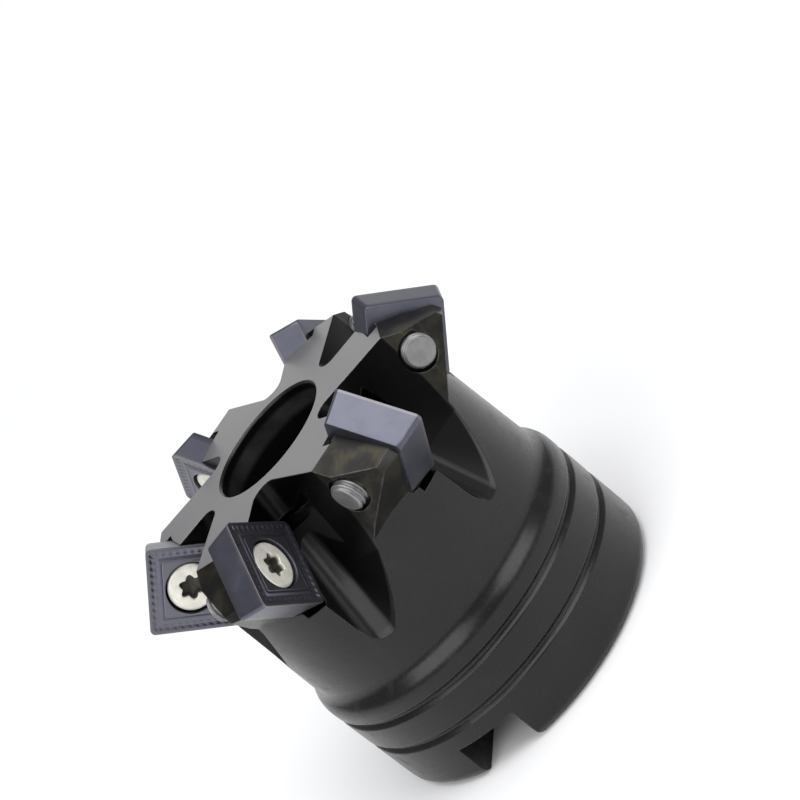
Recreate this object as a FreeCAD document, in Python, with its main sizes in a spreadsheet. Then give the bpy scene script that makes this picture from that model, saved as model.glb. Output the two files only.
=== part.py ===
# Face mill with six square indexable inserts and a 45 degree lead.
#
# Frame: millimetres, origin at the centre of the rear mounting face, +Z towards the cutting end.
# Insert 1 stands on the +X side and the others follow every 60 degrees about +Z. The drive slot runs along X.
#
# Each insert station has its own local frame, used for its seat, its screw hole, its insert and its screw:
# the origin is the centre of the insert's rake face, local Z is the rake face's normal (the cutting direction),
# local X points across the outer front cutting edge and local Y across the outer rear edge.
import FreeCAD, Part
import math
import os

import Sketcher

V = FreeCAD.Vector
doc = FreeCAD.newDocument("face_mill")

# ---------------------------------------------------------------- driving dimensions
sheet = doc.addObject("Spreadsheet::Sheet", "Sheet")
dims = {}
row = [1]


def cell(alias, value, note=""):
    r = row[0]
    sheet.set("A%d" % r, alias)
    sheet.set("B%d" % r, repr(value))
    sheet.setAlias("B%d" % r, alias)
    if note:
        sheet.set("C%d" % r, note)
    dims[alias] = float(value)
    row[0] += 1


# body of revolution
cell("height", 50.5, "rear face to ground front face")
cell("hub_radius", 25.3, "rear hub")
cell("rear_chamfer", 1.2, "rear outer edge")
cell("groove_low", 9.6, "height of the lower groove")
cell("groove_high", 15.6, "height of the upper groove")
cell("groove_half", 0.75, "half width of a groove")
cell("groove_depth", 0.65, "depth of a groove")
cell("groove_round", 0.3, "rounding of a groove's edges")
cell("hub_top", 18.77, "foot of the flare's cone")
cell("flare_top_z", 20.66, "top of the flare's cone")
cell("flare_round", 3.4, "rounding at both ends of the flare")
cell("rear_round", 1.6, "rounding of the rear edge")
cell("neck_low_rad", 23.925, "neck at the flare")
cell("neck_rad", 23.5, "neck below the teeth")
cell("neck_top_z", 36.0, "height where the neck turns straight")
cell("bore_radius", 11.0, "arbor bore, 22 mm")
cell("bore_depth", 20.0, "arbor bore depth")
cell("bore_chamfer", 0.8, "arbor bore mouth")
cell("bolt_radius", 5.5, "arbor screw clearance")
cell("web_top", 28.0, "seat of the arbor screw's head")
cell("front_bore_radius", 9.9, "front counterbore")
cell("front_chamfer", 0.3, "front counterbore mouth")
cell("slot_width", 10.4, "drive slot")
cell("slot_depth", 6.3, "drive slot")
cell("slot_chamfer", 0.35, "drive slot edges")
# insert station
cell("station_rad", 23.01, "rake face centre, distance from the axis")
cell("station_drop", 5.35, "rake face centre, below the front face")
cell("radial_rake", -2.5, "degrees")
cell("seat_spin", 1.5, "degrees, turn of the insert in its rake plane")
cell("insert_half", 6.35, "half the cutting edge length")
cell("insert_thick", 5.09, "insert thickness")
cell("flank_angle", 7.8, "degrees, clearance on the insert's flanks")
cell("corner_radius", 0.8, "insert corners")
cell("seat_gap", 0.02, "air between insert and seat")
cell("station_count", 6, "teeth")
# tooth behind the seat, in the station frame at two depths
cell("tooth_front_n", -5.11, "plane of the seat")
cell("tooth_back_n", -15.1, "plane behind the tooth")
cell("top_front_u", 4.08, "outer face: u where w is 0, at the seat")
cell("top_back_u", 2.913, "outer face: u where w is 0, behind the tooth")
cell("top_slope", 0.181, "outer face: u against w")
cell("tooth_front_u", 5.4, "the tooth starts high and is trimmed to its outer face")
cell("tooth_front_w", 2.5)
cell("tooth_front_corner_u", 4.1)
cell("tooth_front_corner_w", 5.22)
cell("tooth_front_foot_w", 5.11)
cell("tooth_back_u", 4.05)
cell("tooth_back_w", 2.5)
cell("tooth_back_corner_u", 3.2)
cell("tooth_back_corner_w", 2.79)
cell("tooth_back_foot_w", 2.64)
cell("tooth_foot_u", -9.0)
cell("tooth_inner_w", -7.0)
# flute in front of each tooth: three sections, in the plane of the body's Z axis
cell("flute_top_z", 52.5)
cell("flute_mid_z", 36.5)
cell("flute_low_z", 24.5)
cell("flute_top_floor", 11.5)
cell("flute_mid_floor", 18.91)
cell("flute_low_floor", 24.47)
cell("flute_wall_inner", -0.15)
cell("flute_wall_outer", -1.5)
cell("flute_top_corner", 2.8)
cell("flute_mid_corner", 3.2)
cell("flute_low_corner", 3.4)
cell("flute_top_angle", 50.5, "degrees, far wall")
cell("flute_mid_angle", 73.3, "degrees, far wall")
cell("flute_low_angle", 79.0, "degrees, far wall")
cell("flute_reach", 45.0)
cell("flute_side_reach", 26.0)
cell("flute_near_lift", 0.5, "the floor leans a little towards the near wall")
cell("flute_small_fillet", 2.1)
cell("flute_large_fillet", 2.2)
# screw
cell("screw_head_radius", 3.5)
cell("screw_head_top", -0.35, "head below the rake face")
cell("screw_head_rim", 0.9, "height of the head's rim")
cell("screw_shank_radius", 2.45)
cell("screw_root_radius", 2.12)
cell("screw_pitch", 0.8)
cell("screw_tip_n", -12.0)
cell("screw_thread_n", -9.3, "first ring of the thread that is cut")
cell("screw_hole_radius", 2.5)
cell("recess_inner", 1.4)
cell("recess_lobe", 0.42)
cell("recess_lobe_rad", 1.55)
cell("recess_depth", 1.9)
cell("ring_radius", 2.95, "relief round the screw tip")
cell("ring_floor_n", -10.3)
# flat relief across the tooth's back: depth at the screw axis and its two slopes
cell("back_depth_n", -11.41)
cell("back_slope_u", 0.423)
cell("back_slope_w", 0.388)
# insert hole
cell("insert_hole_radius", 2.75)
cell("insert_sink_radius", 3.85)
cell("land_width", 0.45, "cutting edge land")
cell("breaker_depth", 0.32, "chip breaker groove")
cell("breaker_inner", 4.15, "half size of the chip breaker floor's inner edge")
cell("plateau_half", 3.95)
cell("plateau_top", 0.08)
cell("corner_relief_radius", 1.25, "relief in the pocket's inner corner")
cell("pocket_reach_n", 6.4, "the pocket is open this far along the rake normal")
doc.recompute()


def num(text):
    """Value of a sum of cells, such as 'a + 2*b - c'."""
    total, sign, term = 0.0, 1.0, 1.0
    parts = text.replace("+", " + ").replace("- ", " - ").split()
    value = None
    for p in parts:
        if p == "+" or p == "-":
            if value is not None:
                total += sign * value
            sign, value = (1.0 if p == "+" else -1.0), None
        else:
            term = 1.0
            if p[0] == "-":
                term, p = -1.0, p[1:]
            for factor in p.split("*"):
                term *= dims[factor] if factor in dims else float(factor)
            value = term
    if value is not None:
        total += sign * value
    return total


def expression(text):
    """The same sum with each alias written as a reference to the sheet."""
    out = []
    for p in text.replace("*", " * ").replace("+", " + ").replace("- ", " - ").split():
        lead = ""
        if p[0] == "-" and len(p) > 1:
            lead, p = "-", p[1:]
        out.append(lead + ("Sheet." + p if p in dims else p))
    return " ".join(out)


# ---------------------------------------------------------------- sketch helpers
def origin_plane(body, role):
    for f in body.Origin.OriginFeatures:
        if f.Role == role:
            return f
    raise ValueError(role)


def put_sketch(body, name, role, place):
    """A sketch of the body whose own frame is `place`, attached to one of the body's origin planes."""
    plane = origin_plane(body, role)
    sk = body.newObject("Sketcher::SketchObject", name)
    sk.AttachmentSupport = (plane, [""])
    sk.MapMode = "FlatFace"
    base = {
        "XY_Plane": FreeCAD.Placement(),
        "XZ_Plane": FreeCAD.Placement(V(0, 0, 0), FreeCAD.Rotation(V(1, 0, 0), 90)),
    }[role]
    sk.AttachmentOffset = base.inverse().multiply(place)
    return sk


def fix_point(sk, geo, pos, x, y):
    """Holds a point at (x, y), each a sum of cells or a plain number."""
    for axis, text in (("X", x), ("Y", y)):
        val = num(text)
        if abs(val) < 1e-9:
            sk.addConstraint(Sketcher.Constraint("PointOnObject", geo, pos, -2 if axis == "X" else -1))
            continue
        i = sk.addConstraint(Sketcher.Constraint("Distance" + axis, -1, 1, geo, pos, val))
        if any(c.isalpha() for c in text):
            sk.setExpression("Constraints[%d]" % i, expression(text))


def polygon(sk, points):
    """A closed chain of lines with every corner held by two bound distances."""
    xy = [V(num(x), num(y), 0) for x, y in points]
    n = len(xy)
    for i in range(n):
        sk.addGeometry(Part.LineSegment(xy[i], xy[(i + 1) % n]), False)
    for i in range(n):
        sk.addConstraint(Sketcher.Constraint("Coincident", i, 2, (i + 1) % n, 1))
    for i in range(n):
        fix_point(sk, i, 1, points[i][0], points[i][1])


def circle(sk, x, y, radius):
    g = sk.addGeometry(Part.Circle(V(num(x), num(y), 0), V(0, 0, 1), num(radius)), False)
    fix_point(sk, g, 3, x, y)
    i = sk.addConstraint(Sketcher.Constraint("Radius", g, num(radius)))
    if any(c.isalpha() for c in radius):
        sk.setExpression("Constraints[%d]" % i, expression(radius))


def station(angle, n=0.0):
    """Placement of an insert station's frame, shifted along its rake normal by n."""
    b = math.radians(dims["radial_rake"])
    k = math.radians(dims["seat_spin"])
    er, et, ez = V(1, 0, 0), V(0, 1, 0), V(0, 0, 1)
    p = er * math.cos(b) + et * math.sin(b)
    nn = et * math.cos(b) - er * math.sin(b)
    p2 = p * math.cos(k) + ez * math.sin(k)
    q2 = ez * math.cos(k) - p * math.sin(k)
    u = (p2 + q2) * (1 / math.sqrt(2))
    w = (p2 - q2) * (1 / math.sqrt(2))
    o = V(dims["station_rad"], 0, dims["height"] - dims["station_drop"]) + nn * n
    m = FreeCAD.Matrix(u.x, w.x, nn.x, o.x, u.y, w.y, nn.y, o.y, u.z, w.z, nn.z, o.z, 0, 0, 0, 1)
    turn = FreeCAD.Placement(V(0, 0, 0), FreeCAD.Rotation(V(0, 0, 1), angle))
    return turn.multiply(FreeCAD.Placement(m))


def at_height(z):
    return FreeCAD.Placement(V(0, 0, z), FreeCAD.Rotation())


def volume(feature):
    doc.recompute()
    return feature.Shape.Volume


def must(condition, words):
    if not condition:
        raise RuntimeError(words)


# ---------------------------------------------------------------- cutter body
body = doc.addObject("PartDesign::Body", "cutter_body")
body.Label = "cutter_body"

# turned blank: hub with two grooves, flare, neck, bores
side = put_sketch(body, "blank_profile", "XZ_Plane", FreeCAD.Placement(V(0, 0, 0), FreeCAD.Rotation(V(1, 0, 0), 90)))
polygon(
    side,
    [
        ("bore_radius + bore_chamfer", "0"),
        ("hub_radius - rear_chamfer", "0"),
        ("hub_radius", "rear_chamfer"),
        ("hub_radius", "groove_low - groove_half"),
        ("hub_radius - groove_depth", "groove_low - 0.25*groove_half"),
        ("hub_radius - groove_depth", "groove_low + 0.25*groove_half"),
        ("hub_radius", "groove_low + groove_half"),
        ("hub_radius", "groove_high - groove_half"),
        ("hub_radius - groove_depth", "groove_high - 0.25*groove_half"),
        ("hub_radius - groove_depth", "groove_high + 0.25*groove_half"),
        ("hub_radius", "groove_high + groove_half"),
        ("hub_radius", "hub_top"),
        ("neck_low_rad", "flare_top_z"),
        ("neck_rad", "neck_top_z"),
        ("neck_rad", "height"),
        ("front_bore_radius + front_chamfer", "height"),
        ("front_bore_radius", "height - front_chamfer"),
        ("front_bore_radius", "web_top"),
        ("bolt_radius", "web_top"),
        ("bolt_radius", "bore_depth"),
        ("bore_radius", "bore_depth"),
        ("bore_radius", "bore_chamfer"),
    ],
)
blank = body.newObject("PartDesign::Revolution", "blank")
blank.Profile = side
blank.ReferenceAxis = (side, ["V_Axis"])
blank.Angle = 360
must(volume(blank) > 60000, "blank")


def soften(name, circles, radius):
    """Rounds the blank's circular edges given as (radius, height)."""
    base = body.Tip
    doc.recompute()
    names = []
    for i, e in enumerate(base.Shape.Edges):
        if not isinstance(e.Curve, Part.Circle):
            continue
        for r, z in circles:
            if abs(e.Curve.Radius - r) < 0.02 and abs(e.Curve.Center.z - z) < 0.02:
                names.append("Edge%d" % (i + 1))
    must(len(names) >= len(circles), "edges of " + name)
    f = body.newObject("PartDesign::Fillet", name)
    f.Base = (base, names)
    f.setExpression("Radius", "Sheet." + radius)
    body.Tip = f
    must(abs(volume(f) - base.Shape.Volume) > 0.01 and f.Shape.isValid(), name)
    return f


body.Tip = blank
soften("flare_rounding", [(dims["hub_radius"], dims["hub_top"]), (dims["neck_low_rad"], dims["flare_top_z"])], "flare_round")
soften(
    "rear_rounding",
    [(dims["hub_radius"], dims["rear_chamfer"]), (dims["hub_radius"] - dims["rear_chamfer"], 0)],
    "rear_round",
)
low, high, half = dims["groove_low"], dims["groove_high"], dims["groove_half"]
turned = soften("groove_rounding", [(dims["hub_radius"], g + s * half) for g in (low, high) for s in (-1, 1)], "groove_round")

# tooth: a wedge that carries the seat and leans back along both outer edges
tooth_a = put_sketch(body, "tooth_front", "XY_Plane", station(0, dims["tooth_front_n"]))
polygon(
    tooth_a,
    [
        ("tooth_front_u", "tooth_inner_w"),
        ("tooth_front_u", "tooth_front_w"),
        ("tooth_front_corner_u", "tooth_front_corner_w"),
        ("tooth_foot_u", "tooth_front_foot_w"),
        ("tooth_foot_u", "tooth_inner_w"),
    ],
)
tooth_b = put_sketch(body, "tooth_back", "XY_Plane", station(0, dims["tooth_back_n"]))
polygon(
    tooth_b,
    [
        ("tooth_back_u", "tooth_inner_w"),
        ("tooth_back_u", "tooth_back_w"),
        ("tooth_back_corner_u", "tooth_back_corner_w"),
        ("tooth_foot_u", "tooth_back_foot_w"),
        ("tooth_foot_u", "tooth_inner_w"),
    ],
)
tooth = body.newObject("PartDesign::AdditiveLoft", "tooth")
tooth.Profile = tooth_a
tooth.Sections = [tooth_b]
tooth.Ruled = True
before = turned.Shape.Volume
must(volume(tooth) > before + 50, "tooth adds nothing")


def pattern(name, features, count="station_count"):
    pat = body.newObject("PartDesign::PolarPattern", name)
    pat.Originals = features
    z_axis = [f for f in body.Origin.OriginFeatures if f.Role == "Z_Axis"][0]
    pat.Axis = (z_axis, [""])
    pat.Angle = 360
    pat.Occurrences = int(dims[count])
    pat.setExpression("Occurrences", "Sheet." + count)
    body.Tip = pat
    doc.recompute()
    return pat


teeth = pattern("teeth", [tooth])

# the front is ground flat
face_sk = put_sketch(body, "front_face", "XY_Plane", at_height(dims["height"]))
circle(face_sk, "0", "0", "flute_reach")
facing = body.newObject("PartDesign::Pocket", "facing")
facing.Profile = face_sk
facing.Reversed = True
facing.Type = 0
facing.Length = 12
body.Tip = facing
doc.recompute()
top = facing.Shape.common(Part.makeBox(100, 100, 20, V(-50, -50, dims["height"] + 0.001))).Volume
must(top < 1e-3, "facing goes the wrong way")

# clearance chamfer along the tooth's outer front edge
cl_a = put_sketch(body, "clearance_front", "XY_Plane", station(0, dims["tooth_front_n"] + 0.01))
polygon(cl_a, [("top_front_u - 25*top_slope", "-25"), ("30", "-25"), ("30", "25"), ("top_front_u + 25*top_slope", "25")])
cl_b = put_sketch(body, "clearance_back", "XY_Plane", station(0, dims["tooth_back_n"]))
polygon(cl_b, [("top_back_u - 25*top_slope", "-25"), ("30", "-25"), ("30", "25"), ("top_back_u + 25*top_slope", "25")])
clearance = body.newObject("PartDesign::SubtractiveLoft", "clearance")
clearance.Profile = cl_a
clearance.Sections = [cl_b]
clearance.Ruled = True
body.Tip = clearance
must(volume(clearance) < facing.Shape.Volume - 1, "clearance")


def flute_section(name, z, floor, corner, angle, lift):
    """One section of the chip flute: near wall, floor and far wall, with both floor corners rounded."""
    sk = put_sketch(body, name, "XY_Plane", at_height(dims[z]))
    a = math.radians(dims[angle])
    far_x = num(floor) + 34 * math.cos(a)
    far_y = num(corner) + 34 * math.sin(a)
    cell(name + "_far_x", round(far_x, 4))
    cell(name + "_far_y", round(far_y, 4))
    near = floor + " + " + lift
    c1 = V(num(near), num("flute_wall_inner"), 0)
    c2 = V(num(floor), num(corner), 0)
    p_in = V(num("flute_reach"), num("flute_wall_outer"), 0)
    p_out = V(far_x, far_y, 0)
    p_mid = V(num("flute_reach"), far_y, 0)
    r1, r2 = dims["flute_small_fillet"], dims["flute_large_fillet"]

    def rounded(c, a_end, b_end, r):
        da, db = (a_end - c).normalize(), (b_end - c).normalize()
        half = 0.5 * math.acos(max(-1, min(1, da.dot(db))))
        t = r / math.tan(half)
        centre = c + (da + db).normalize() * (r / math.sin(half))
        return c + da * t, c + db * t, centre

    t1a, t1b, m1 = rounded(c1, p_in, c2, r1)
    t2a, t2b, m2 = rounded(c2, c1, p_out, r2)

    def arc(s, e, m):
        """The short arc between two points round m, always counter-clockwise."""
        a0 = math.atan2(s.y - m.y, s.x - m.x)
        a1 = math.atan2(e.y - m.y, e.x - m.x)
        if (a1 - a0) % (2 * math.pi) > math.pi:
            a0, a1 = a1, a0
        if a1 < a0:
            a1 += 2 * math.pi
        return Part.ArcOfCircle(Part.Circle(m, V(0, 0, 1), (s - m).Length), a0, a1)

    # geometry order: near wall, small round, floor, large round, far wall, two closing lines
    sk.addGeometry(Part.LineSegment(p_in, t1a), False)
    sk.addGeometry(arc(t1a, t1b, m1), False)
    sk.addGeometry(Part.LineSegment(t1b, t2a), False)
    sk.addGeometry(arc(t2a, t2b, m2), False)
    sk.addGeometry(Part.LineSegment(t2b, p_out), False)
    sk.addGeometry(Part.LineSegment(p_out, p_mid), False)
    sk.addGeometry(Part.LineSegment(p_mid, p_in), False)
    g1 = sk.addGeometry(Part.Point(c1), True)
    g2 = sk.addGeometry(Part.Point(c2), True)

    def ends(g, at):
        """Which end of arc g lies at a point."""
        geo = sk.Geometry[g]
        return 1 if (geo.StartPoint - at).Length < 1e-6 else 2

    C = Sketcher.Constraint
    sk.addConstraint(C("Tangent", 0, 2, 1, ends(1, t1a)))
    sk.addConstraint(C("Tangent", 1, ends(1, t1b), 2, 1))
    sk.addConstraint(C("Tangent", 2, 2, 3, ends(3, t2a)))
    sk.addConstraint(C("Tangent", 3, ends(3, t2b), 4, 1))
    sk.addConstraint(C("Coincident", 4, 2, 5, 1))
    sk.addConstraint(C("Coincident", 5, 2, 6, 1))
    sk.addConstraint(C("Coincident", 6, 2, 0, 1))
    sk.addConstraint(C("PointOnObject", g1, 1, 0))
    sk.addConstraint(C("PointOnObject", g1, 1, 2))
    sk.addConstraint(C("PointOnObject", g2, 1, 2))
    sk.addConstraint(C("PointOnObject", g2, 1, 4))
    for g, r in ((1, "flute_small_fillet"), (3, "flute_large_fillet")):
        i = sk.addConstraint(C("Radius", g, dims[r]))
        sk.setExpression("Constraints[%d]" % i, "Sheet." + r)
    fix_point(sk, g1, 1, near, "flute_wall_inner")
    fix_point(sk, g2, 1, floor, corner)
    fix_point(sk, 0, 1, "flute_reach", "flute_wall_outer")
    fix_point(sk, 4, 2, name + "_far_x", name + "_far_y")
    fix_point(sk, 5, 2, "flute_reach", name + "_far_y")
    return sk


fl_a = flute_section("flute_top", "flute_top_z", "flute_top_floor", "flute_top_corner", "flute_top_angle", "0*flute_near_lift")
fl_b = flute_section("flute_mid", "flute_mid_z", "flute_mid_floor", "flute_mid_corner", "flute_mid_angle", "flute_near_lift")
fl_c = flute_section("flute_low", "flute_low_z", "flute_low_floor", "flute_low_corner", "flute_low_angle", "flute_near_lift")
flute = body.newObject("PartDesign::SubtractiveLoft", "flute")
flute.Profile = fl_a
flute.Sections = [fl_b, fl_c]
flute.Ruled = True
body.Tip = flute
must(volume(flute) < clearance.Shape.Volume - 200, "flute")

# insert pocket: its floor is the seat, its two walls lean like the insert's flanks
lean = math.tan(math.radians(dims["flank_angle"]))
cell("seat_n", round(-(dims["insert_thick"] + dims["seat_gap"]), 4))
cell("seat_wall", round(dims["insert_half"] - dims["insert_thick"] * lean + 0.03, 4))
cell("pocket_top_wall", round(dims["insert_half"] + dims["pocket_reach_n"] * lean + 0.03, 4))
doc.recompute()
pk_a = put_sketch(body, "seat", "XY_Plane", station(0, dims["seat_n"]))
polygon(pk_a, [("-seat_wall", "-seat_wall"), ("24", "-seat_wall"), ("24", "24"), ("-seat_wall", "24")])
pk_b = put_sketch(body, "pocket_top", "XY_Plane", station(0, dims["pocket_reach_n"]))
polygon(
    pk_b,
    [("-pocket_top_wall", "-pocket_top_wall"), ("24", "-pocket_top_wall"), ("24", "24"), ("-pocket_top_wall", "24")],
)
pocket = body.newObject("PartDesign::SubtractiveLoft", "insert_pocket")
pocket.Profile = pk_a
pocket.Sections = [pk_b]
pocket.Ruled = True
body.Tip = pocket
must(volume(pocket) < flute.Shape.Volume - 50, "pocket")


def round_cut(name, x, y, radius, n, length, forward):
    """A round cut in the station frame, from the plane at n, towards +n (forward) or away from it."""
    sk = put_sketch(body, name + "_sketch", "XY_Plane", station(0, n))
    circle(sk, x, y, radius)
    old = body.Tip.Shape.Volume
    f = body.newObject("PartDesign::Pocket", name)
    f.Profile = sk
    f.Type = 0
    f.Length = length
    f.Reversed = bool(forward)
    body.Tip = f
    must(volume(f) < old - 0.05, name + " cuts nothing")
    return f


relief = round_cut("corner_relief", "-seat_wall", "-seat_wall", "corner_relief_radius", dims["seat_n"] - 0.5, dims["pocket_reach_n"] - dims["seat_n"] + 0.5, True)
tap = round_cut("screw_hole", "0", "0", "screw_hole_radius", dims["seat_n"] + 0.1, 16, False)
ring = round_cut("tip_ring", "0", "0", "ring_radius", dims["ring_floor_n"], 6, False)
foot = round_cut("foot_relief", "-seat_wall", "seat_wall", "corner_relief_radius", dims["seat_n"] + 1.2, 8, True)
notch = round_cut("seat_notch", "3.0", "-seat_wall", "corner_relief_radius", dims["seat_n"] - 1.4, 8, True)



# flat relief across the tooth's back
su, sw = dims["back_slope_u"], dims["back_slope_w"]
axis_u = V(1, 0, su).normalize()
axis_n = V(-su, -sw, 1).normalize()
axis_w = axis_n.cross(axis_u)
lean_back = FreeCAD.Placement(
    FreeCAD.Matrix(
        axis_u.x, axis_w.x, axis_n.x, 0,
        axis_u.y, axis_w.y, axis_n.y, 0,
        axis_u.z, axis_w.z, axis_n.z, dims["back_depth_n"],
        0, 0, 0, 1,
    )
)
back_sk = put_sketch(body, "back_outline", "XY_Plane", station(0).multiply(lean_back))
polygon(back_sk, [("-8.6", "-12"), ("13", "-12"), ("13", "12"), ("3.15", "12"), ("-8.6", "1.91")])
back = body.newObject("PartDesign::Pocket", "back_relief")
back.Profile = back_sk
back.Type = 0
back.Length = 9
back.Reversed = False
body.Tip = back
must(volume(back) < notch.Shape.Volume - 20, "back relief")

stations = pattern("stations", [clearance, flute, pocket, relief, tap, ring, foot, notch, back])

# drive slot across the rear face
slot_sk = put_sketch(body, "slot_profile", "XY_Plane", at_height(0))
polygon(
    slot_sk,
    [("-40", "-0.5*slot_width"), ("40", "-0.5*slot_width"), ("40", "0.5*slot_width"), ("-40", "0.5*slot_width")],
)
slot = body.newObject("PartDesign::Pocket", "drive_slot")
slot.Profile = slot_sk
slot.Type = 0
slot.Reversed = True
slot.setExpression("Length", "Sheet.slot_depth")
body.Tip = slot
must(volume(slot) < stations.Shape.Volume - 500, "slot")
body.Placement = FreeCAD.Placement()
made = [body]

# ---------------------------------------------------------------- inserts
def make_insert(index):
    b = doc.addObject("PartDesign::Body", "insert_%d" % index)
    b.Label = "insert_%d" % index
    sk = put_sketch(b, "rake_outline_%d" % index, "XY_Plane", FreeCAD.Placement())
    polygon(
        sk,
        [("-insert_half", "-insert_half"), ("insert_half", "-insert_half"), ("insert_half", "insert_half"), ("-insert_half", "insert_half")],
    )
    pad = b.newObject("PartDesign::Pad", "blank_%d" % index)
    pad.Profile = sk
    pad.Type = 0
    pad.Reversed = True
    pad.setExpression("Length", "Sheet.insert_thick")
    pad.setExpression("TaperAngle", "-1 * Sheet.flank_angle")
    full = (2 * dims["insert_half"]) ** 2 * dims["insert_thick"]
    must(volume(pad) < full, "insert flanks lean outwards")
    b.Tip = pad
    corners = []
    for i, e in enumerate(pad.Shape.Edges):
        z = [v.Point.z for v in e.Vertexes]
        if len(z) == 2 and abs(z[0] - z[1]) > 0.9 * dims["insert_thick"]:
            corners.append("Edge%d" % (i + 1))
    must(len(corners) == 4, "insert corners")
    fil = b.newObject("PartDesign::Fillet", "corners_%d" % index)
    fil.Base = (pad, corners)
    fil.setExpression("Radius", "Sheet.corner_radius")
    b.Tip = fil
    old = volume(fil)
    # chip breaker: a sloping groove inside the cutting edge land, round a low plateau
    outer = put_sketch(b, "breaker_outer_%d" % index, "XY_Plane", at_height(0.0))
    polygon(
        outer,
        [
            ("-insert_half + land_width", "-insert_half + land_width"),
            ("insert_half - land_width", "-insert_half + land_width"),
            ("insert_half - land_width", "insert_half - land_width"),
            ("-insert_half + land_width", "insert_half - land_width"),
        ],
    )
    inner = put_sketch(b, "breaker_inner_%d" % index, "XY_Plane", at_height(-dims["breaker_depth"]))
    polygon(
        inner,
        [
            ("-breaker_inner - 0.5", "-breaker_inner - 0.5"),
            ("breaker_inner + 0.5", "-breaker_inner - 0.5"),
            ("breaker_inner + 0.5", "breaker_inner + 0.5"),
            ("-breaker_inner - 0.5", "breaker_inner + 0.5"),
        ],
    )
    groove = b.newObject("PartDesign::SubtractiveLoft", "breaker_%d" % index)
    groove.Profile = outer
    groove.Sections = [inner]
    groove.Ruled = True
    b.Tip = groove
    must(volume(groove) < old - 5, "chip breaker")
    old = groove.Shape.Volume
    flat = put_sketch(b, "plateau_outline_%d" % index, "XY_Plane", at_height(-dims["breaker_depth"] - 0.05))
    polygon(
        flat,
        [("-breaker_inner", "-breaker_inner"), ("breaker_inner", "-breaker_inner"), ("breaker_inner", "breaker_inner"), ("-breaker_inner", "breaker_inner")],
    )
    plateau = b.newObject("PartDesign::Pad", "plateau_%d" % index)
    plateau.Profile = flat
    plateau.Type = 0
    plateau.Length = dims["breaker_depth"] + 0.05 - dims["plateau_top"]
    plateau.setExpression("Length", "Sheet.breaker_depth + 0.05 - Sheet.plateau_top")
    plateau.TaperAngle = -35
    b.Tip = plateau
    must(volume(plateau) > old + 1, "plateau")
    # hole: straight below, conical seat above
    hole_sk = put_sketch(b, "hole_profile_%d" % index, "XZ_Plane", FreeCAD.Placement(V(0, 0, 0), FreeCAD.Rotation(V(1, 0, 0), 90)))
    polygon(
        hole_sk,
        [
            ("0", "1"),
            ("insert_sink_radius", "1"),
            ("insert_sink_radius", "-1.15"),
            ("insert_hole_radius", "-3.05"),
            ("insert_hole_radius", "-insert_thick - 1"),
            ("0", "-insert_thick - 1"),
        ],
    )
    hole = b.newObject("PartDesign::Groove", "hole_%d" % index)
    hole.Profile = hole_sk
    hole.ReferenceAxis = (hole_sk, ["V_Axis"])
    hole.Angle = 360
    b.Tip = hole
    must(volume(hole) < plateau.Shape.Volume - 80, "insert hole")
    b.Placement = station(60.0 * (index - 1))
    return b


# ---------------------------------------------------------------- clamping screws
def make_screw(index):
    b = doc.addObject("PartDesign::Body", "insert_screw_%d" % index)
    b.Label = "insert_screw_%d" % index
    sk = put_sketch(b, "screw_profile_%d" % index, "XZ_Plane", FreeCAD.Placement(V(0, 0, 0), FreeCAD.Rotation(V(1, 0, 0), 90)))
    pts = [
        ("0", "screw_head_top"),
        ("screw_head_radius - 0.25", "screw_head_top"),
        ("screw_head_radius", "screw_head_top - 0.25"),
        ("screw_head_radius", "screw_head_top - screw_head_rim"),
        ("screw_shank_radius", "-3.15"),
        ("screw_shank_radius", "screw_thread_n"),
    ]
    z = dims["screw_thread_n"]
    while z - dims["screw_pitch"] > dims["screw_tip_n"] + 0.3:
        # one ring of the thread: crest, flank, root, flank
        pts.append(("screw_root_radius", "%.3f" % (z - 0.3)))
        pts.append(("screw_root_radius", "%.3f" % (z - 0.4)))
        pts.append(("screw_shank_radius", "%.3f" % (z - 0.7)))
        z -= dims["screw_pitch"]
        pts.append(("screw_shank_radius", "%.3f" % z))
    pts.append(("screw_shank_radius", "screw_tip_n + 0.3"))
    pts.append(("screw_shank_radius - 0.3", "screw_tip_n"))
    pts.append(("0", "screw_tip_n"))
    polygon(sk, pts)
    turn = b.newObject("PartDesign::Revolution", "screw_turned_%d" % index)
    turn.Profile = sk
    turn.ReferenceAxis = (sk, ["V_Axis"])
    turn.Angle = 360
    b.Tip = turn
    old = volume(turn)
    must(old > 100, "screw")
    # star recess: a round core and six lobes
    core_sk = put_sketch(b, "recess_core_%d" % index, "XY_Plane", at_height(dims["screw_head_top"]))
    circle(core_sk, "0", "0", "recess_inner")
    core = b.newObject("PartDesign::Pocket", "recess_%d" % index)
    core.Profile = core_sk
    core.Type = 0
    core.setExpression("Length", "Sheet.recess_depth")
    b.Tip = core
    must(volume(core) < old - 1, "recess")
    lobe_sk = put_sketch(b, "recess_lobe_sketch_%d" % index, "XY_Plane", at_height(dims["screw_head_top"]))
    circle(lobe_sk, "recess_lobe_rad", "0", "recess_lobe")
    lobe = b.newObject("PartDesign::Pocket", "recess_lobe_%d" % index)
    lobe.Profile = lobe_sk
    lobe.Type = 0
    lobe.setExpression("Length", "Sheet.recess_depth")
    b.Tip = lobe
    doc.recompute()
    pat = b.newObject("PartDesign::PolarPattern", "recess_star_%d" % index)
    pat.Originals = [lobe]
    z_axis = [f for f in b.Origin.OriginFeatures if f.Role == "Z_Axis"][0]
    pat.Axis = (z_axis, [""])
    pat.Angle = 360
    pat.Occurrences = 6
    b.Tip = pat
    must(volume(pat) < core.Shape.Volume - 0.5, "star")
    b.Placement = station(60.0 * (index - 1))
    return b


for number in range(1, int(dims["station_count"]) + 1):
    made.append(make_insert(number))
for number in range(1, int(dims["station_count"]) + 1):
    made.append(make_screw(number))

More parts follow.
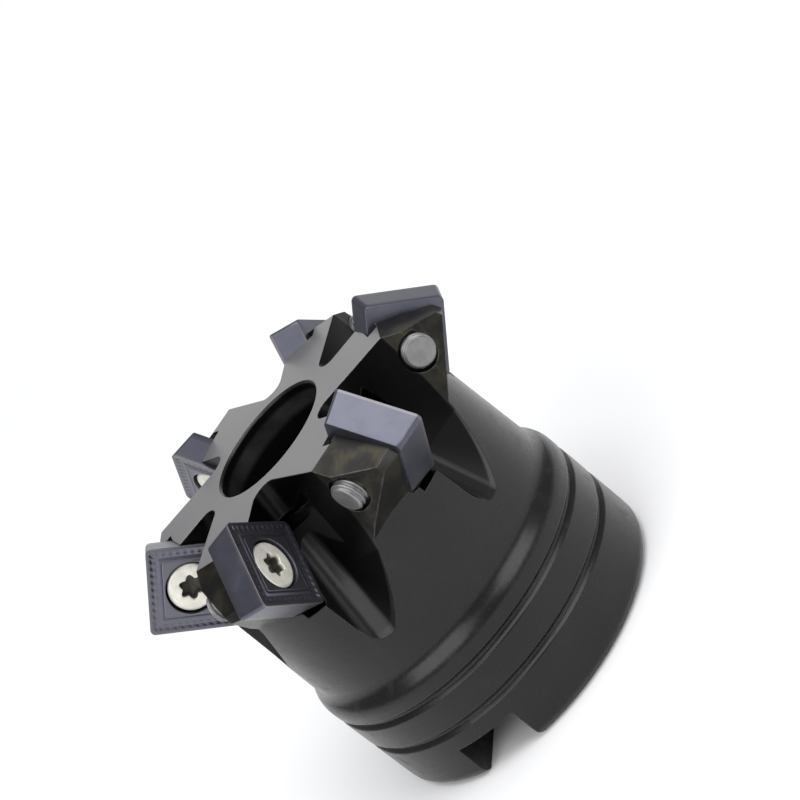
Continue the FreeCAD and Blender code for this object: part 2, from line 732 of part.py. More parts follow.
doc.recompute()
bad = [o.Name for o in doc.Objects if "Invalid" in o.State or "Error" in o.State]
must(not bad, "failed objects: %s" % bad)
for o in made:
    s = o.Shape
    must(not s.isNull() and s.isValid() and len(s.Solids) == 1, "bad shape: " + o.Label)

os.makedirs("parts", exist_ok=True)
for o in made:
    o.Shape.exportStep("parts/%s.step" % o.Label)
    bb = o.Shape.BoundBox
    print("%-16s %9.1f mm3  x %.2f..%.2f  y %.2f..%.2f  z %.2f..%.2f" % (o.Label, o.Shape.Volume, bb.XMin, bb.XMax, bb.YMin, bb.YMax, bb.ZMin, bb.ZMax))
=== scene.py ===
"""Looks of a shell-type face mill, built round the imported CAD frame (metres, Z along the spindle)."""

import math

import bmesh
import bpy
from mathutils import Matrix, Vector


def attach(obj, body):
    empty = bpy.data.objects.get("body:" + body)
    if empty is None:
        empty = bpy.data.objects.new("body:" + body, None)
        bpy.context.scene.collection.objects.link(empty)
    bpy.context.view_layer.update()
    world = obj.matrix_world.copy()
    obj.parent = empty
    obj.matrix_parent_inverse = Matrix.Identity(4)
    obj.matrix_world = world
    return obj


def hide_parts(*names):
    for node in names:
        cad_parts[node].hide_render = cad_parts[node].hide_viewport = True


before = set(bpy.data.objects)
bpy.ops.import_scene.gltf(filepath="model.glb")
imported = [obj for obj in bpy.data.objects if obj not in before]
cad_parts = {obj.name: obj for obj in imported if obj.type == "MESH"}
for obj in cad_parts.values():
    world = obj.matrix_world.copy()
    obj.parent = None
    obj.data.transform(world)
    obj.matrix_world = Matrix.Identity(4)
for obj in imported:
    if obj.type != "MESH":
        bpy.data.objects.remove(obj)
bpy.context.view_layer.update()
MM = 0.001

# ------------------------------------------------------------------ node helpers


class Tree:
    """Short ways to build a material's nodes."""

    def __init__(self, name):
        self.mat = bpy.data.materials.new(name)
        self.mat.use_nodes = True
        self.t = self.mat.node_tree
        for n in list(self.t.nodes):
            self.t.nodes.remove(n)
        self.out = self.t.nodes.new("ShaderNodeOutputMaterial")
        self.bsdf = self.t.nodes.new("ShaderNodeBsdfPrincipled")
        self.t.links.new(self.bsdf.outputs[0], self.out.inputs[0])

    def node(self, kind, **props):
        n = self.t.nodes.new(kind)
        for k, v in props.items():
            setattr(n, k, v)
        return n

    def put(self, socket, value):
        if isinstance(value, bpy.types.NodeSocket):
            self.t.links.new(value, socket)
        elif value is not None:
            socket.default_value = value

    def math(self, op, a, b=None, c=None, clamp=False):
        n = self.node("ShaderNodeMath", operation=op, use_clamp=clamp)
        for i, v in enumerate((a, b, c)):
            if v is not None:
                self.put(n.inputs[i], v)
        return n.outputs[0]

    def vmath(self, op, a, b=None, scale=None):
        n = self.node("ShaderNodeVectorMath", operation=op)
        self.put(n.inputs[0], a)
        if b is not None:
            self.put(n.inputs[1], b)
        if scale is not None:
            self.put(n.inputs["Scale"], scale)
        return n.outputs["Value"] if op in ("DOT_PRODUCT", "LENGTH", "DISTANCE") else n.outputs[0]

    def step(self, x, low, high):
        """0 below low, 1 above high, smooth between."""
        n = self.node("ShaderNodeMapRange", interpolation_type="SMOOTHSTEP", clamp=True)
        self.put(n.inputs["Value"], x)
        n.inputs["From Min"].default_value = low
        n.inputs["From Max"].default_value = high
        return n.outputs["Result"]

    def span(self, x, low, high, to_low, to_high):
        n = self.node("ShaderNodeMapRange", clamp=True)
        self.put(n.inputs["Value"], x)
        for k, v in (("From Min", low), ("From Max", high), ("To Min", to_low), ("To Max", to_high)):
            n.inputs[k].default_value = v
        return n.outputs["Result"]

    def mix(self, f, a, b):
        n = self.node("ShaderNodeMix", data_type="RGBA", clamp_factor=True)
        self.put(n.inputs["Factor"], f)
        self.put(n.inputs["A"] if False else n.inputs[6], a)
        self.put(n.inputs[7], b)
        return n.outputs[2]

    def mixf(self, f, a, b):
        n = self.node("ShaderNodeMix", data_type="FLOAT", clamp_factor=True)
        self.put(n.inputs[0], f)
        self.put(n.inputs[2], a)
        self.put(n.inputs[3], b)
        return n.outputs[0]

    def noise(self, vec, scale, detail=3.0, rough=0.55, distortion=0.0):
        n = self.node("ShaderNodeTexNoise")
        self.put(n.inputs["Vector"], vec)
        n.inputs["Scale"].default_value = scale
        n.inputs["Detail"].default_value = detail
        n.inputs["Roughness"].default_value = rough
        n.inputs["Distortion"].default_value = distortion
        return n.outputs["Fac"]

    def combine(self, x, y, z):
        n = self.node("ShaderNodeCombineXYZ")
        for i, v in enumerate((x, y, z)):
            self.put(n.inputs[i], v)
        return n.outputs[0]

    def bump(self, height, strength, distance, normal=None):
        n = self.node("ShaderNodeBump")
        n.inputs["Strength"].default_value = strength
        n.inputs["Distance"].default_value = distance
        self.put(n.inputs["Height"], height)
        if normal is not None:
            self.put(n.inputs["Normal"], normal)
        return n.outputs[0]


def rgb(r, g, b):
    return (r, g, b, 1.0)


# ------------------------------------------------------------------ materials


def bore_wall(m, radius):
    """1 on the wall of the front bore."""
    return m.step(radius, 10.25, 10.05)


def body_material():
    m = Tree("black_oxide_steel")
    pos = m.node("ShaderNodeTexCoord").outputs["Object"]
    mm = m.vmath("SCALE", pos, scale=1000.0)
    sep = m.node("ShaderNodeSeparateXYZ")
    m.put(sep.inputs[0], mm)
    x, y, z = sep.outputs
    flat = m.combine(x, y, 0.0)
    radius = m.vmath("LENGTH", flat)
    angle = m.math("ARCTAN2", y, x)
    geo = m.node("ShaderNodeNewGeometry")
    nsep = m.node("ShaderNodeSeparateXYZ")
    m.put(nsep.inputs[0], geo.outputs["Normal"])
    nx, ny, nz = nsep.outputs
    # how far the face looks along the turning direction and outwards
    tangential = m.math("DIVIDE", m.math("SUBTRACT", m.math("MULTIPLY", ny, x), m.math("MULTIPLY", nx, y)), radius)
    outward = m.math("DIVIDE", m.math("ADD", m.math("MULTIPLY", nx, x), m.math("MULTIPLY", ny, y)), radius)
    # edges: where a rounded normal leaves the flat one
    bev = m.node("ShaderNodeBevel", samples=6)
    bev.inputs["Radius"].default_value = 0.28 * MM
    close = m.vmath("DOT_PRODUCT", bev.outputs[0], geo.outputs["Normal"])
    edge = m.step(close, 0.985, 0.80)

    front = m.math("MULTIPLY", m.step(z, 50.40, 50.47), m.step(nz, 0.90, 0.97))
    turned = m.math("MULTIPLY", m.step(radius, 23.2, 23.42), m.step(z, 46.0, 44.0))
    high = m.step(z, 34.6, 36.2)
    tooth = m.math("MULTIPLY", m.step(radius, 23.0, 24.2), high)
    # the tooth's flat relief, its outer face and the facet under the insert are bronze-tinged
    relief = m.math("MULTIPLY", tooth, m.step(tangential, -0.25, -0.6))
    outer = m.math("MULTIPLY", m.math("MULTIPLY", m.step(nz, 0.30, 0.50), m.step(radius, 22.3, 22.8)), m.step(z, 38.0, 39.0))
    under = m.math("MULTIPLY", m.math("MULTIPLY", m.step(nz, -0.30, -0.50), m.step(radius, 23.4, 23.8)), m.step(z, 37.2, 37.8))
    backs = m.math("MAXIMUM", relief, m.math("MAXIMUM", outer, under))
    flute = m.math("MULTIPLY", m.math("MULTIPLY", m.step(radius, 23.45, 23.2), m.step(radius, 10.4, 10.8)), m.step(z, 22.0, 24.0))
    # painted shade: the flute's far wall and its upper end take little light, and there the near-black colour is made
    # nearly metallic so that it reflects almost nothing; the round along its floor stays glossy
    steep = m.step(m.math("ABSOLUTE", nz), 0.50, 0.62)
    shade = m.math("MAXIMUM", m.math("MAXIMUM", m.step(tangential, -0.10, -0.50), steep), m.step(z, 38.0, 45.0))
    flute_shade_walls = m.math("MULTIPLY", flute, shade)
    # painted highlight: a lighter band on the bore wall just below the front face
    bore_rim_highlight = m.math("MULTIPLY", m.math("MULTIPLY", bore_wall(m, radius), m.step(z, 46.2, 47.4)), m.step(z, 49.4, 48.6))
    bore = m.math("MULTIPLY", m.step(radius, 10.9, 10.3), m.step(z, 50.45, 50.1))

    broad = m.noise(mm, 0.055, 3.0, 0.5)
    fine = m.noise(mm, 1.6, 4.0, 0.6)
    # turning marks run round the axis: noise drawn out along the angle
    lathe = m.noise(m.combine(m.math("MULTIPLY", angle, 1.3), m.math("MULTIPLY", z, 5.5), m.math("MULTIPLY", radius, 5.5)), 1.0, 3.0, 0.6)
    mottle = m.noise(mm, 0.35, 4.0, 0.6, 0.4)

    dark = m.mix(m.span(broad, 0.35, 0.65, 0.0, 1.0), rgb(0.0048, 0.0048, 0.0051), rgb(0.0080, 0.0079, 0.0080))
    dark = m.mix(m.math("MULTIPLY", m.step(mottle, 0.55, 0.75), 0.35), dark, rgb(0.014, 0.0137, 0.0133))
    # painted shade: the whole flute is coloured near-black, darker than the rest of the body, for the shade in the
    # gullets
    flute_shade_colour = m.mix(fine, rgb(0.0012, 0.0012, 0.0013), rgb(0.0028, 0.0027, 0.0027))
    col = m.mix(flute, dark, flute_shade_colour)
    bronze = m.mix(m.step(m.noise(mm, 0.26, 4.0, 0.6, 0.3), 0.40, 0.66), rgb(0.0085, 0.0080, 0.0072), rgb(0.0300, 0.0270, 0.0165))
    col = m.mix(m.math("MULTIPLY", backs, 0.9), col, bronze)
    # painted shade: inside the bore the colour is darker than the rest of the body
    col = m.mix(bore, col, rgb(0.003, 0.003, 0.0033))
    col = m.mix(m.math("MULTIPLY", bore_rim_highlight, m.span(m.noise(mm, 0.22, 3.0), 0.35, 0.65, 0.4, 1.0)), col, rgb(0.036, 0.035, 0.034))
    # the edges are lighter: partly worn metal, partly a painted highlight where the rounded edges catch the light
    worn_and_highlit_edge = m.mix(fine, rgb(0.035, 0.034, 0.033), rgb(0.080, 0.077, 0.070))
    col = m.mix(m.math("MULTIPLY", edge, m.span(m.noise(mm, 0.8, 2.0), 0.35, 0.65, 0.25, 0.8)), col, worn_and_highlit_edge)
    grind = m.noise(m.combine(m.math("MULTIPLY", x, 0.30), m.math("MULTIPLY", y, 6.0), 0.0), 1.0, 3.0, 0.6)
    ground = m.mix(grind, rgb(0.265, 0.262, 0.265), rgb(0.335, 0.330, 0.330))
    ground = m.mix(m.math("MULTIPLY", m.step(broad, 0.45, 0.62), 0.25), ground, rgb(0.37, 0.342, 0.325))
    # the tooth backs are lighter close to their edges: partly rubbed wear, partly a painted highlight along the
    # softened edges
    rub_and_highlight = m.math("MULTIPLY", m.math("MULTIPLY", backs, m.step(close, 0.999, 0.93)), m.span(m.noise(mm, 0.9, 3.0), 0.35, 0.60, 0.2, 1.0))
    col = m.mix(m.math("MULTIPLY", rub_and_highlight, 0.75), col, rgb(0.120, 0.115, 0.095))
    col = m.mix(front, col, ground)
    m.put(m.bsdf.inputs["Base Color"], col)

    metal = m.mixf(front, m.mixf(bore, m.mixf(backs, m.mixf(flute_shade_walls, 0.0, 0.82), 0.62), 0.3), 0.85)
    m.put(m.bsdf.inputs["Metallic"], metal)
    rough = m.mixf(lathe, 0.22, 0.31)
    rough = m.mixf(m.step(mottle, 0.5, 0.8), rough, 0.42)
    rough = m.mixf(flute, rough, m.mixf(fine, 0.30, 0.40))
    rough = m.mixf(backs, rough, m.mixf(fine, 0.30, 0.42))
    rough = m.mixf(front, rough, m.mixf(grind, 0.36, 0.46))
    m.put(m.bsdf.inputs["Roughness"], rough)
    m.bsdf.inputs["Specular IOR Level"].default_value = 0.33
    h = m.mixf(front, m.mixf(turned, m.math("MULTIPLY", fine, 0.8), lathe), grind)
    m.put(m.bsdf.inputs["Normal"], m.bump(h, 0.12, 0.02 * MM, bev.outputs[0]))
    return m.mat


def insert_material():
    m = Tree("coated_carbide")
    pos = m.node("ShaderNodeTexCoord").outputs["Object"]
    mm = m.vmath("SCALE", pos, scale=1000.0)
    sep = m.node("ShaderNodeSeparateXYZ")
    m.put(sep.inputs[0], mm)
    u, w, n = sep.outputs
    inset = m.math("SUBTRACT", 6.35, m.math("MAXIMUM", m.math("ABSOLUTE", u), m.math("ABSOLUTE", w)))
    top = m.step(n, -0.42, -0.36)
    r = m.vmath("LENGTH", m.combine(u, w, 0.0))
    geo = m.node("ShaderNodeNewGeometry")
    bev = m.node("ShaderNodeBevel", samples=4)
    bev.inputs["Radius"].default_value = 0.08 * MM
    close = m.vmath("DOT_PRODUCT", bev.outputs[0], geo.outputs["Normal"])
    edge = m.step(close, 0.985, 0.85)
    fine = m.noise(mm, 3.0, 4.0, 0.6)
    cloud = m.noise(mm, 0.25, 3.0, 0.55)
    base = m.mix(m.span(cloud, 0.35, 0.65, 0.0, 1.0), rgb(0.074, 0.077, 0.101), rgb(0.094, 0.097, 0.121))
    base = m.mix(m.math("MULTIPLY", fine, 0.25), base, rgb(0.135, 0.132, 0.150))
    # chip-breaker border a little bluer and darker, plateau greyer
    band = m.math("MULTIPLY", m.math("MULTIPLY", m.step(inset, 0.30, 0.45), m.step(inset, 2.05, 1.85)), top)
    base = m.mix(m.math("MULTIPLY", band, 0.6), base, rgb(0.150, 0.150, 0.180))
    plate = m.math("MULTIPLY", m.step(inset, 2.1, 2.3), top)
    base = m.mix(m.math("MULTIPLY", plate, 0.6), base, rgb(0.150, 0.149, 0.165))
    # painted shade: inside the screw hole the colour is near-black
    inside = m.step(r, 3.84, 3.70)
    base = m.mix(inside, base, rgb(0.020, 0.020, 0.026))
    land = m.math("MULTIPLY", m.step(inset, 0.34, 0.22), top)
    lit = m.math("MAXIMUM", m.math("MULTIPLY", edge, 0.75), m.math("MULTIPLY", land, 0.35))
    base = m.mix(lit, base, rgb(0.24, 0.215, 0.21))
    m.put(m.bsdf.inputs["Base Color"], base)
    m.bsdf.inputs["Metallic"].default_value = 0.85
    rough = m.mixf(fine, 0.26, 0.36)
    rough = m.mixf(m.step(cloud, 0.5, 0.7), rough, 0.38)
    m.put(m.bsdf.inputs["Roughness"], rough)
    m.bsdf.inputs["Specular IOR Level"].default_value = 0.5
    polish = m.noise(m.combine(m.math("MULTIPLY", u, 0.6), m.math("MULTIPLY", w, 0.6), m.math("MULTIPLY", n, 9.0)), 1.0, 2.0)
    m.put(m.bsdf.inputs["Normal"], m.bump(m.math("ADD", m.math("MULTIPLY", fine, 0.6), m.math("MULTIPLY", polish, 0.6)), 0.18, 0.015 * MM, bev.outputs[0]))
    return m.mat


def screw_material():
    m = Tree("plated_screw_steel")
    pos = m.node("ShaderNodeTexCoord").outputs["Object"]
    mm = m.vmath("SCALE", pos, scale=1000.0)
    sep = m.node("ShaderNodeSeparateXYZ")
    m.put(sep.inputs[0], mm)
    u, w, n = sep.outputs
    r = m.vmath("LENGTH", m.combine(u, w, 0.0))
    geo = m.node("ShaderNodeNewGeometry")
    bev = m.node("ShaderNodeBevel", samples=4)
    bev.inputs["Radius"].default_value = 0.10 * MM
    close = m.vmath("DOT_PRODUCT", bev.outputs[0], geo.outputs["Normal"])
    edge = m.step(close, 0.985, 0.85)
    fine = m.noise(mm, 2.4, 4.0, 0.6)
    rings = m.noise(m.combine(m.math("MULTIPLY", r, 9.0), 0.0, m.math("MULTIPLY", n, 3.0)), 1.0, 2.0)
    cloud = m.noise(mm, 0.55, 3.0, 0.6)
    head = m.step(n, -3.6, -3.0)
    plated = m.mix(m.span(cloud, 0.35, 0.65, 0.0, 1.0), rgb(0.62, 0.60, 0.53), rgb(0.78, 0.76, 0.67))
    zinc = m.mix(m.span(cloud, 0.35, 0.65, 0.0, 1.0), rgb(0.16, 0.16, 0.16), rgb(0.21, 0.21, 0.21))
    base = m.mix(head, zinc, plated)
    base = m.mix(m.math("MULTIPLY", m.step(rings, 0.52, 0.72), 0.25), base, rgb(0.30, 0.29, 0.25))
    # painted shade: the six-lobed recess is coloured near-black
    deep = m.math("MULTIPLY", m.math("MULTIPLY", m.step(n, -0.50, -0.95), m.step(r, 2.25, 2.0)), m.step(n, -3.0, -2.8))
    base = m.mix(m.math("MULTIPLY", deep, 0.93), base, rgb(0.022, 0.020, 0.014))
    grime = m.math("MULTIPLY", m.step(fine, 0.60, 0.78), 0.5)
    base = m.mix(grime, base, rgb(0.20, 0.19, 0.15))
    # lighter edges: partly wear, partly a painted highlight where the edges catch the light
    base = m.mix(m.math("MULTIPLY", edge, 0.4), base, rgb(0.92, 0.91, 0.86))
    m.put(m.bsdf.inputs["Base Color"], base)
    m.put(m.bsdf.inputs["Metallic"], m.mixf(deep, m.mixf(head, 0.6, 0.30), 0.1))
    m.put(m.bsdf.inputs["Roughness"], m.mixf(deep, m.mixf(fine, 0.28, 0.40), 0.5))
    m.put(m.bsdf.inputs["Normal"], m.bump(m.math("ADD", m.math("MULTIPLY", rings, 0.8), m.math("MULTIPLY", fine, 0.4)), 0.25, 0.02 * MM, bev.outputs[0]))
    return m.mat


def floor_material():
    m = Tree("pale_floor")
    pos = m.node("ShaderNodeTexCoord").outputs["Object"]
    v = m.noise(pos, 6.0, 3.0)
    # far from the object, behind the boxes, the floor is paler: painted light that makes up for the boxes' light
    # missing there, so that it stays white up to the frame's corner
    xyz = m.node("ShaderNodeSeparateXYZ")
    m.put(xyz.inputs[0], pos)
    x, y = xyz.outputs[0], xyz.outputs[1]
    r = m.math("SQRT", m.math("ADD", m.math("MULTIPLY", x, x), m.math("MULTIPLY", y, y)))
    near = m.mix(v, rgb(0.755, 0.755, 0.758), rgb(0.780, 0.780, 0.782))
    m.put(m.bsdf.inputs["Base Color"], m.mix(m.step(r, 0.35, 0.66), near, rgb(0.985, 0.985, 0.987)))
    m.put(m.bsdf.inputs["Roughness"], m.mixf(v, 0.75, 0.85))
    m.bsdf.inputs["Specular IOR Level"].default_value = 0.15
    return m.mat


BODY = body_material()
CARBIDE = insert_material()
SCREW = screw_material()

# ------------------------------------------------------------------ stations

RAKE, SPIN = math.radians(-2.5), math.radians(1.5)
STATION_R, STATION_Z = 23.01, 50.5 - 5.35


def station(index):
    """World matrix (metres) of an insert station: local x = U, y = W, z = rake normal, in metres."""
    er, et, ez = Vector((1, 0, 0)), Vector((0, 1, 0)), Vector((0, 0, 1))
    p = er * math.cos(RAKE) + et * math.sin(RAKE)
    nn = et * math.cos(RAKE) - er * math.sin(RAKE)
    p2 = p * math.cos(SPIN) + ez * math.sin(SPIN)
    q2 = ez * math.cos(SPIN) - p * math.sin(SPIN)
    u = (p2 + q2) / math.sqrt(2)
    w = (p2 - q2) / math.sqrt(2)
    o = Vector((STATION_R, 0, STATION_Z)) * MM
    m = Matrix(((u.x, w.x, nn.x, o.x), (u.y, w.y, nn.y, o.y), (u.z, w.z, nn.z, o.z), (0, 0, 0, 1)))
    return Matrix.Rotation(math.radians(60 * (index - 1)), 4, "Z") @ m


# ------------------------------------------------------------------ insert mesh

HALF, THICK, TAPER, CORNER = 6.35, 5.09, math.tan(math.radians(7.8)), 0.8


def outline(half, radius, side, corner):
    """Rounded square, counter-clockwise, with the distance along each side from its middle (None on a corner)."""
    pts = []
    for q in range(4):
        c, s = math.cos(q * math.pi / 2), math.sin(q * math.pi / 2)
        flat = half - radius
        for i in range(side):
            t = -flat + 2 * flat * (i + 0.5) / side
            pts.append((half * c - t * s, half * s + t * c, t))
        for i in range(corner):
            a = (i + 0.5) / corner * math.pi / 2
            px, py = flat + radius * math.cos(a), flat + radius * math.sin(a)
            pts.append((px * c - py * s, px * s + py * c, None))
    return pts


def smooth(t):
    t = max(0.0, min(1.0, t))
    return t * t * (3 - 2 * t)


def rake_height(d, t):
    """Height of the rake face at a distance d inside the edge, t along the side from its middle."""
    wave = 0.0
    if t is not None:
        wave = 0.5 + 0.5 * math.cos(2 * math.pi * t / 1.02)
        wave *= smooth((5.55 - abs(t)) / 0.5)
    front = 0.36 + 0.12 * wave
    down = smooth((d - front) / 0.55)
    h = -0.21 * down
    h += 0.06 * wave * smooth((d - 0.62) / 0.22) * smooth((1.42 - d) / 0.22)
    h += 0.11 * smooth((d - 1.52) / 0.42)
    h -= 0.055 * smooth((d - 2.12) / 0.06) * smooth((2.34 - d) / 0.06)
    return h


def make_insert_mesh(side=88, corner=10):
    bm = bmesh.new()
    rings = []

    def ring(pts):
        rings.append([bm.verts.new((p[0] * MM, p[1] * MM, p[2] * MM)) for p in pts])

    def square(half, n, radius=None):
        radius = CORNER * half / HALF if radius is None else radius
        return [(a, b, n) for a, b, t in outline(half, radius, side, corner)]

    # underside of the hole, seat face, flank, cutting edge
    hole = 2.75

    def circle_of(r, n, half=HALF):
        out = []
        for a, b, t in outline(half, CORNER, side, corner):
            g = math.hypot(a, b)
            out.append((a / g * r, b / g * r, n))
        return out

    for r, n in ((hole, -4.2), (hole, -4.99), (hole + 0.10, -5.09)):
        ring(circle_of(r, n))
    bottom = HALF - THICK * TAPER
    ring([tuple(0.5 * (c + s) for c, s in zip(a, b)) for a, b in zip(circle_of(4.2, -THICK), square(4.4, -THICK, 2.0))])
    ring(square(bottom - 0.10, -THICK))
    ring(square(bottom - 0.02, -THICK + 0.02))
    ring(square(bottom + 0.08 * TAPER, -THICK + 0.10))
    for f in (0.25, 0.5, 0.75):
        n = -THICK * (1 - f)
        ring(square(HALF + n * TAPER, n))
    for n, cut in ((-0.12, 0.0), (-0.055, 0.0), (-0.022, 0.006), (-0.006, 0.020), (0.0, 0.045)):
        ring(square(HALF + n * TAPER - cut, n))
    # rake face, ring by ring inwards
    d = 0.09
    steps = [0.09, 0.18, 0.27]
    d = 0.33
    while d < 1.96:
        steps.append(d)
        d += 0.058
    steps += [2.03, 2.10, 2.14, 2.18, 2.28, 2.32, 2.36, 2.42]
    for d in steps:
        radius = max(CORNER - d * 0.55, 0.35)
        ring([(a, b, rake_height(d, t)) for a, b, t in outline(HALF - d, radius, side, corner)])
    last = outline(HALF - 2.42, 0.35, side, corner)
    top = rake_height(2.42, 0.0)
    for f in (0.35, 0.7, 1.0):
        pts = []
        for a, b, t in last:
            g = math.hypot(a, b)
            k = 1 - f + f * 3.87 / g
            pts.append((a * k, b * k, top))
        ring(pts)

    def hole_ring(r, n):
        pts = []
        for a, b, t in last:
            g = math.hypot(a, b)
            pts.append((a / g * r, b / g * r, n))
        ring(pts)

    for r, n in ((3.84, top - 0.02), (3.83, top - 0.06), (3.83, -1.1), (3.80, -1.2), (2.79, -2.98), (2.75, -3.06), (2.75, -3.6)):
        hole_ring(r, n)
    count = len(rings[0])
    for a, b in zip(rings, rings[1:] + rings[:1]):
        for i in range(count):
            j = (i + 1) % count
            bm.faces.new((a[i], a[j], b[j], b[i]))
    bmesh.ops.recalc_face_normals(bm, faces=bm.faces)
    mesh = bpy.data.meshes.new("insert_detail")
    bm.to_mesh(mesh)
    bm.free()
    return mesh


# ------------------------------------------------------------------ screw mesh


def star(a, core=1.36, lobe=1.86):
    """Radius of the six-lobed recess at an angle."""
    c = 0.5 + 0.5 * math.cos(6 * a)
    return core + (lobe - core) * c ** 0.8


def make_screw_mesh(around=120):
    bm = bmesh.new()
    rings = []
    tau = 2 * math.pi

    def ring(f):
        vs = []
        for i in range(around):
            a = tau * i / around
            r, n = f(a)
            vs.append(bm.verts.new((r * math.cos(a) * MM, r * math.sin(a) * MM, n * MM)))
        rings.append(vs)

    top = -0.35
    floor = top - 1.9
    # recess floor is a shallow cone, its wall is nearly straight, and its rim is eased
    for k in (0.25, 0.6, 0.85):
        ring(lambda a, k=k: (star(a) * 0.93 * k, floor - 0.25 * (1 - k)))
    ring(lambda a: (star(a) * 0.95, floor + 0.03))
    for k in (0.12, 0.4, 0.7, 0.9):
        ring(lambda a, k=k: (star(a) * (0.955 + 0.045 * k), floor + (top - floor) * k))
    ring(lambda a: (star(a), top - 0.10))
    ring(lambda a: (star(a) + 0.02, top - 0.045))
    ring(lambda a: (star(a) + 0.07, top - 0.012))
    ring(lambda a: (star(a) + 0.13, top))
    for k in (0.33, 0.66):
        ring(lambda a, k=k: ((star(a) + 0.13) * (1 - k) + 2.9 * k, top))
    head = ((2.98, top), (3.12, top - 0.012), (3.26, top - 0.05), (3.38, top - 0.12), (3.46, top - 0.21), (3.495, top - 0.32),
            (3.5, top - 0.45), (3.5, top - 0.84), (3.48, top - 0.90), (3.44, top - 0.95))
    for r, n in head:
        ring(lambda a, r=r, n=n: (r, n))
    for r, n in ((2.95, -2.18), (2.50, -3.07), (2.44, -3.2), (2.43, -3.4), (2.43, -5.9)):
        ring(lambda a, r=r, n=n: (r, n))
    pitch, crest, root = 0.8, 2.44, 2.06
    start, tip = -6.05, -12.0
    n = start
    while n > tip + 0.24:

        def f(a, n=n):
            # right-hand thread: the ridge moves along +n as the angle grows
            ph = ((n / pitch) - a / tau) % 1.0
            tri = abs(ph - 0.5) * 2.0
            h = smooth((tri - 0.16) / 0.70)
            run_in = smooth((start - n) / 0.6)
            run_out = smooth((n - tip - 0.05) / 0.55)
            r = crest - (crest - root) * (1 - h) * run_in
            r = min(r, crest - 0.20 * (1 - run_out))
            return r, n

        ring(f)
        n -= pitch / 11
    end = ((2.20, tip + 0.17), (2.10, tip + 0.06), (1.98, tip + 0.012), (1.86, tip), (1.2, tip), (0.5, tip + 0.0))
    for r, n in end:
        ring(lambda a, r=r, n=n: (r, n))
    for a, b in zip(rings, rings[1:]):
        for i in range(around):
            j = (i + 1) % around
            bm.faces.new((a[i], a[j], b[j], b[i]))
    c = bm.verts.new((0, 0, (floor - 0.30) * MM))
    e = bm.verts.new((0, 0, tip * MM))
    for i in range(around):
        j = (i + 1) % around
        bm.faces.new((c, rings[0][j], rings[0][i]))
        bm.faces.new((e, rings[-1][i], rings[-1][j]))
    bmesh.ops.recalc_face_normals(bm, faces=bm.faces)
    mesh = bpy.data.meshes.new("screw_detail")
    bm.to_mesh(mesh)
    bm.free()
    return mesh


def place(name, mesh, matrix, body, material, node):
    for p in mesh.polygons:
        p.use_smooth = True
    mesh.materials.clear()
    mesh.materials.append(material)
    o = bpy.data.objects.new(name, mesh)
    bpy.context.scene.collection.objects.link(o)
    o.matrix_world = matrix
    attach(o, body)
    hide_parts(node)
    return o


insert_mesh = make_insert_mesh()
screw_mesh = make_screw_mesh()
for k in range(1, 7):
    place("insert_%d_detail" % k, insert_mesh, station(k), "insert_%d" % k, CARBIDE, "insert_%d" % k)
    turn = Matrix.Rotation(math.radians((37 * k) % 60), 4, "Z")
    place("insert_screw_%d_detail" % k, screw_mesh, station(k) @ turn, "insert_screw_%d" % k, SCREW, "insert_screw_%d" % k)

for name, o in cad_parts.items():
    if name == "cutter_body":
        for s in o.material_slots:
            s.material = BODY

# ------------------------------------------------------------------ floor, light, camera

floor_mesh = bpy.data.meshes.new("floor")
floor_mesh.from_pydata([(-12, -12, 0), (12, -12, 0), (12, 12, 0), (-12, 12, 0)], [], [(0, 1, 2, 3)])
floor_mesh.materials.append(floor_material())
floor = bpy.data.objects.new("floor", floor_mesh)
bpy.context.scene.collection.objects.link(floor)


def softbox(name, at, target, size, watts, color=(1, 1, 1), shape="RECTANGLE"):
    data = bpy.data.lights.new(name, "AREA")
    data.shape = shape
    data.size, data.size_y = size
    data.energy = watts
    data.color = color
    o = bpy.data.objects.new(name, data)
    bpy.context.scene.collection.objects.link(o)
    o.location = at
    o.rotation_euler = (Vector(target) - Vector(at)).to_track_quat("-Z", "Y").to_euler()
    o.visible_camera = False
    return o


AIM = (0, 0, 0.025)
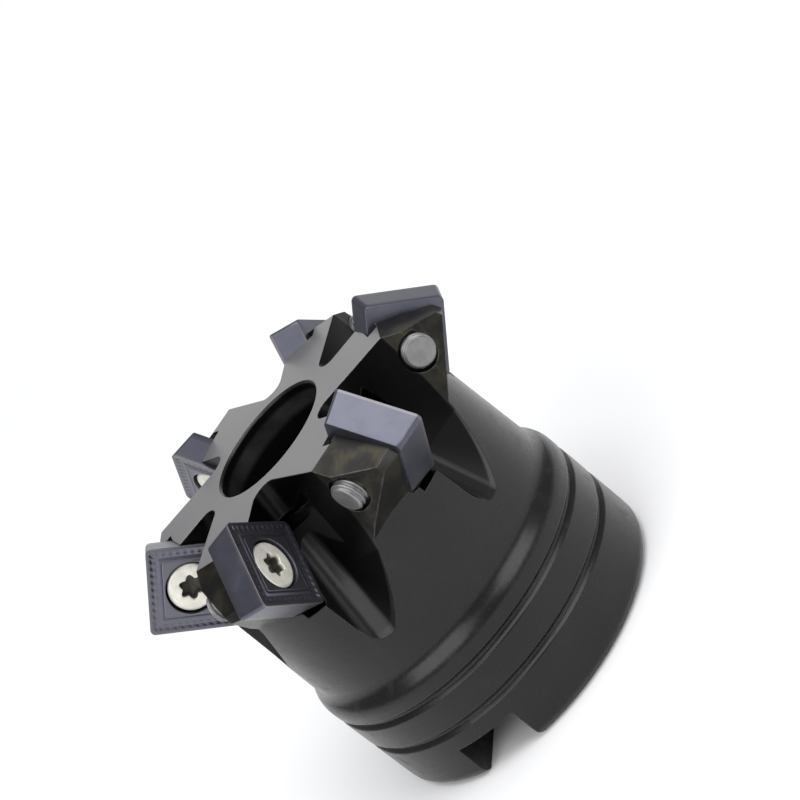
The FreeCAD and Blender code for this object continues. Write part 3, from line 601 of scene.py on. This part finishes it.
# the overhead light is a wide, even disc of sky, so that the floor is as bright far away as it is near
sky = bpy.data.lights.new("overhead", "SUN")
sky.energy = 2.3
sky.angle = math.radians(56)
overhead = bpy.data.objects.new("overhead", sky)
bpy.context.scene.collection.objects.link(overhead)
overhead.location = (0.0, 0.12, 0.62)
overhead.rotation_euler = Vector((0.0, -0.19, -0.98)).to_track_quat("-Z", "Y").to_euler()


def around(az, el, distance):
    a, e = math.radians(az), math.radians(el)
    return (distance * math.cos(a) * math.cos(e), distance * math.sin(a) * math.cos(e), 0.02 + distance * math.sin(e))


# two boxes in front, with a gap between them, and a weak one low behind
softbox("front_left", around(-11, 33, 0.70), AIM, (0.60, 0.46), 2.7)
softbox("front_right", around(73, 33, 0.70), AIM, (0.47, 0.46), 2.25)
softbox("high_left", around(-50, 58, 0.70), AIM, (0.25, 0.25), 0.42)
softbox("low_back", (-0.66, -0.16, 0.19), AIM, (0.55, 0.30), 0.40)

world = bpy.data.worlds.new("studio")
bpy.context.scene.world = world
world.use_nodes = True
bg = world.node_tree.nodes["Background"]
bg.inputs[0].default_value = (0.93, 0.95, 1.0, 1.0)
bg.inputs[1].default_value = 0.30

cam_data = bpy.data.cameras.new("camera")
cam_data.sensor_width = 36.0
cam_data.sensor_fit = "HORIZONTAL"
cam_data.lens = 102.2206
cam_data.clip_start = 0.01
cam_data.clip_end = 20.0
cam = bpy.data.objects.new("camera", cam_data)
bpy.context.scene.collection.objects.link(cam)
X = Vector((-0.07482487, 0.6830357, -0.72654214))
Y = Vector((-0.56525651, 0.57117371, 0.59518541))
Z = Vector((0.82151465, 0.45521734, 0.34335238))
C = Vector((256.67783, 160.42253, 149.33181)) * MM
cam.matrix_world = Matrix(((X.x, Y.x, Z.x, C.x), (X.y, Y.y, Z.y, C.y), (X.z, Y.z, Z.z, C.z), (0, 0, 0, 1)))
bpy.context.scene.camera = cam

bpy.context.scene.view_settings.view_transform = "Standard"
bpy.context.scene.view_settings.look = "None"
bpy.context.scene.view_settings.exposure = 0.0
